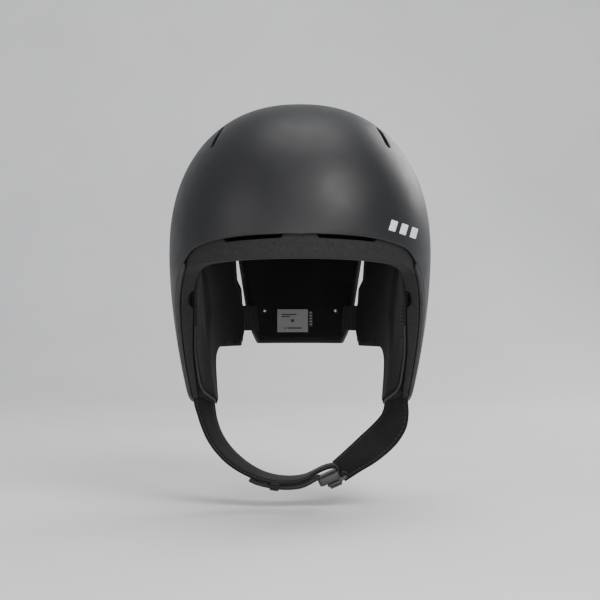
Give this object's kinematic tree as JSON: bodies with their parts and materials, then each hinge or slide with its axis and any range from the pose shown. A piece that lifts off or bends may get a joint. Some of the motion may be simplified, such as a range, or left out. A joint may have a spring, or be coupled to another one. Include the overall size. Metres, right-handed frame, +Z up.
{
  "type": "water sports helmet",
  "caption": "Full-cut water helmet with ear flaps, foam liner, comfort pads, flexing rear cradle and a padded chin strap with a magnetic buckle.",
  "frame": {"origin": "middle of the crown pad's flat lower face, where the top of the head rests", "axes": "+Z up, the helmet faces -Y, +X is the wearer's left"},
  "size_m": [0.2102, 0.2543, 0.3146],
  "materials": {
    "shell": "satin black moulded plastic with a fine grain",
    "foam": "black bead foam with a speckled skin",
    "trim": "soft black edging",
    "lining": "black knitted fabric over padding",
    "hook": "black hook-and-loop",
    "steel": "stainless",
    "webbing": "black woven webbing",
    "neoprene": "black knit-faced padding with stitched edges",
    "elastic": "black ribbed elastic",
    "buckle": "dark grey moulded plastic",
    "magnet": "plated magnet",
    "label": "grey woven label with plain marks",
    "decal": "white printed bars"
  },
  "bodies": {
    "helmet": {"outer_shell": "shell", "crown_foam": "foam", "brow_foam": "foam", "crown_pad": "lining", "brow_pad": "lining", "crown_hook_disc": "hook", "brow_hook_disc": "hook", "flap_foam_right": "foam", "edge_trim_right": "trim", "side_pad_right": "lining", "ear_pad_right": "lining", "side_hook_disc_right": "hook", "ear_hook_disc_right": "hook", "strap_anchor_right": "steel", "anchor_screw_right": "steel", "strap_root_right": "webbing", "flap_foam_left": "foam", "edge_trim_left": "trim", "side_pad_left": "lining", "ear_pad_left": "lining", "side_hook_disc_left": "hook", "ear_hook_disc_left": "hook", "strap_anchor_left": "steel", "anchor_screw_left": "steel", "strap_root_left": "webbing", "decal_bar_1": "decal", "decal_bar_2": "decal", "decal_bar_3": "decal"},
    "cradle": {"cradle_shell": "shell", "cradle_foam": "foam", "cradle_pad": "lining", "cradle_rivet_right": "steel", "cradle_rivet_left": "steel", "cradle_elastic_right": "elastic", "cradle_elastic_left": "elastic", "size_label": "label", "care_tag": "label"},
    "long_half": {"long_strap": "neoprene", "buckle_latch": "buckle", "latch_magnet": "magnet"},
    "keeper": {"strap_keeper": "elastic"},
    "link": {"web_link": "webbing"},
    "short_half": {"strap_sleeve": "neoprene", "short_webbing": "webbing", "buckle_base": "buckle", "base_magnet": "magnet"},
    "release": {"release_tab": "buckle"}
  },
  "joints": [
    {"name": "cradle_flex", "type": "hinge", "parent": "helmet", "child": "cradle", "pos_m": [0, 0.121, -0.0545], "axis": [1, 0, 0], "range_deg": [-2, 2], "stiffness_Nm_per_rad": 4},
    {"name": "strap_swing", "type": "hinge", "parent": "helmet", "child": "long_half", "pos_m": [0, 0.003, -0.2065], "axis": [1, 0, 0], "range_deg": [-28, 28]},
    {"name": "keeper_slide", "type": "hinge", "parent": "long_half", "child": "keeper", "pos_m": [-0.006, 0.003, -0.177], "axis": [0, 1, 0], "range_deg": [-8, 8]},
    {"name": "short_swing", "type": "hinge", "parent": "helmet", "child": "link", "pos_m": [0, 0.003, -0.2065], "axis": [1, 0, 0], "range_deg": [-28, 28]},
    {"name": "buckle_open", "type": "hinge", "parent": "link", "child": "short_half", "pos_m": [0.0753, 0.003, -0.2119], "axis": [0, -1, 0], "range_deg": [0, 30], "stiffness_Nm_per_rad": 0.8},
    {"name": "release_slide", "type": "slide", "parent": "short_half", "child": "release", "axis": [0, -1, 0], "range_m": [0, 0.004], "stiffness_N_per_m": 400}
  ],
  "couplings": [
    {"joint": "short_swing", "follows": "strap_swing", "ratio": 1}
  ]
}
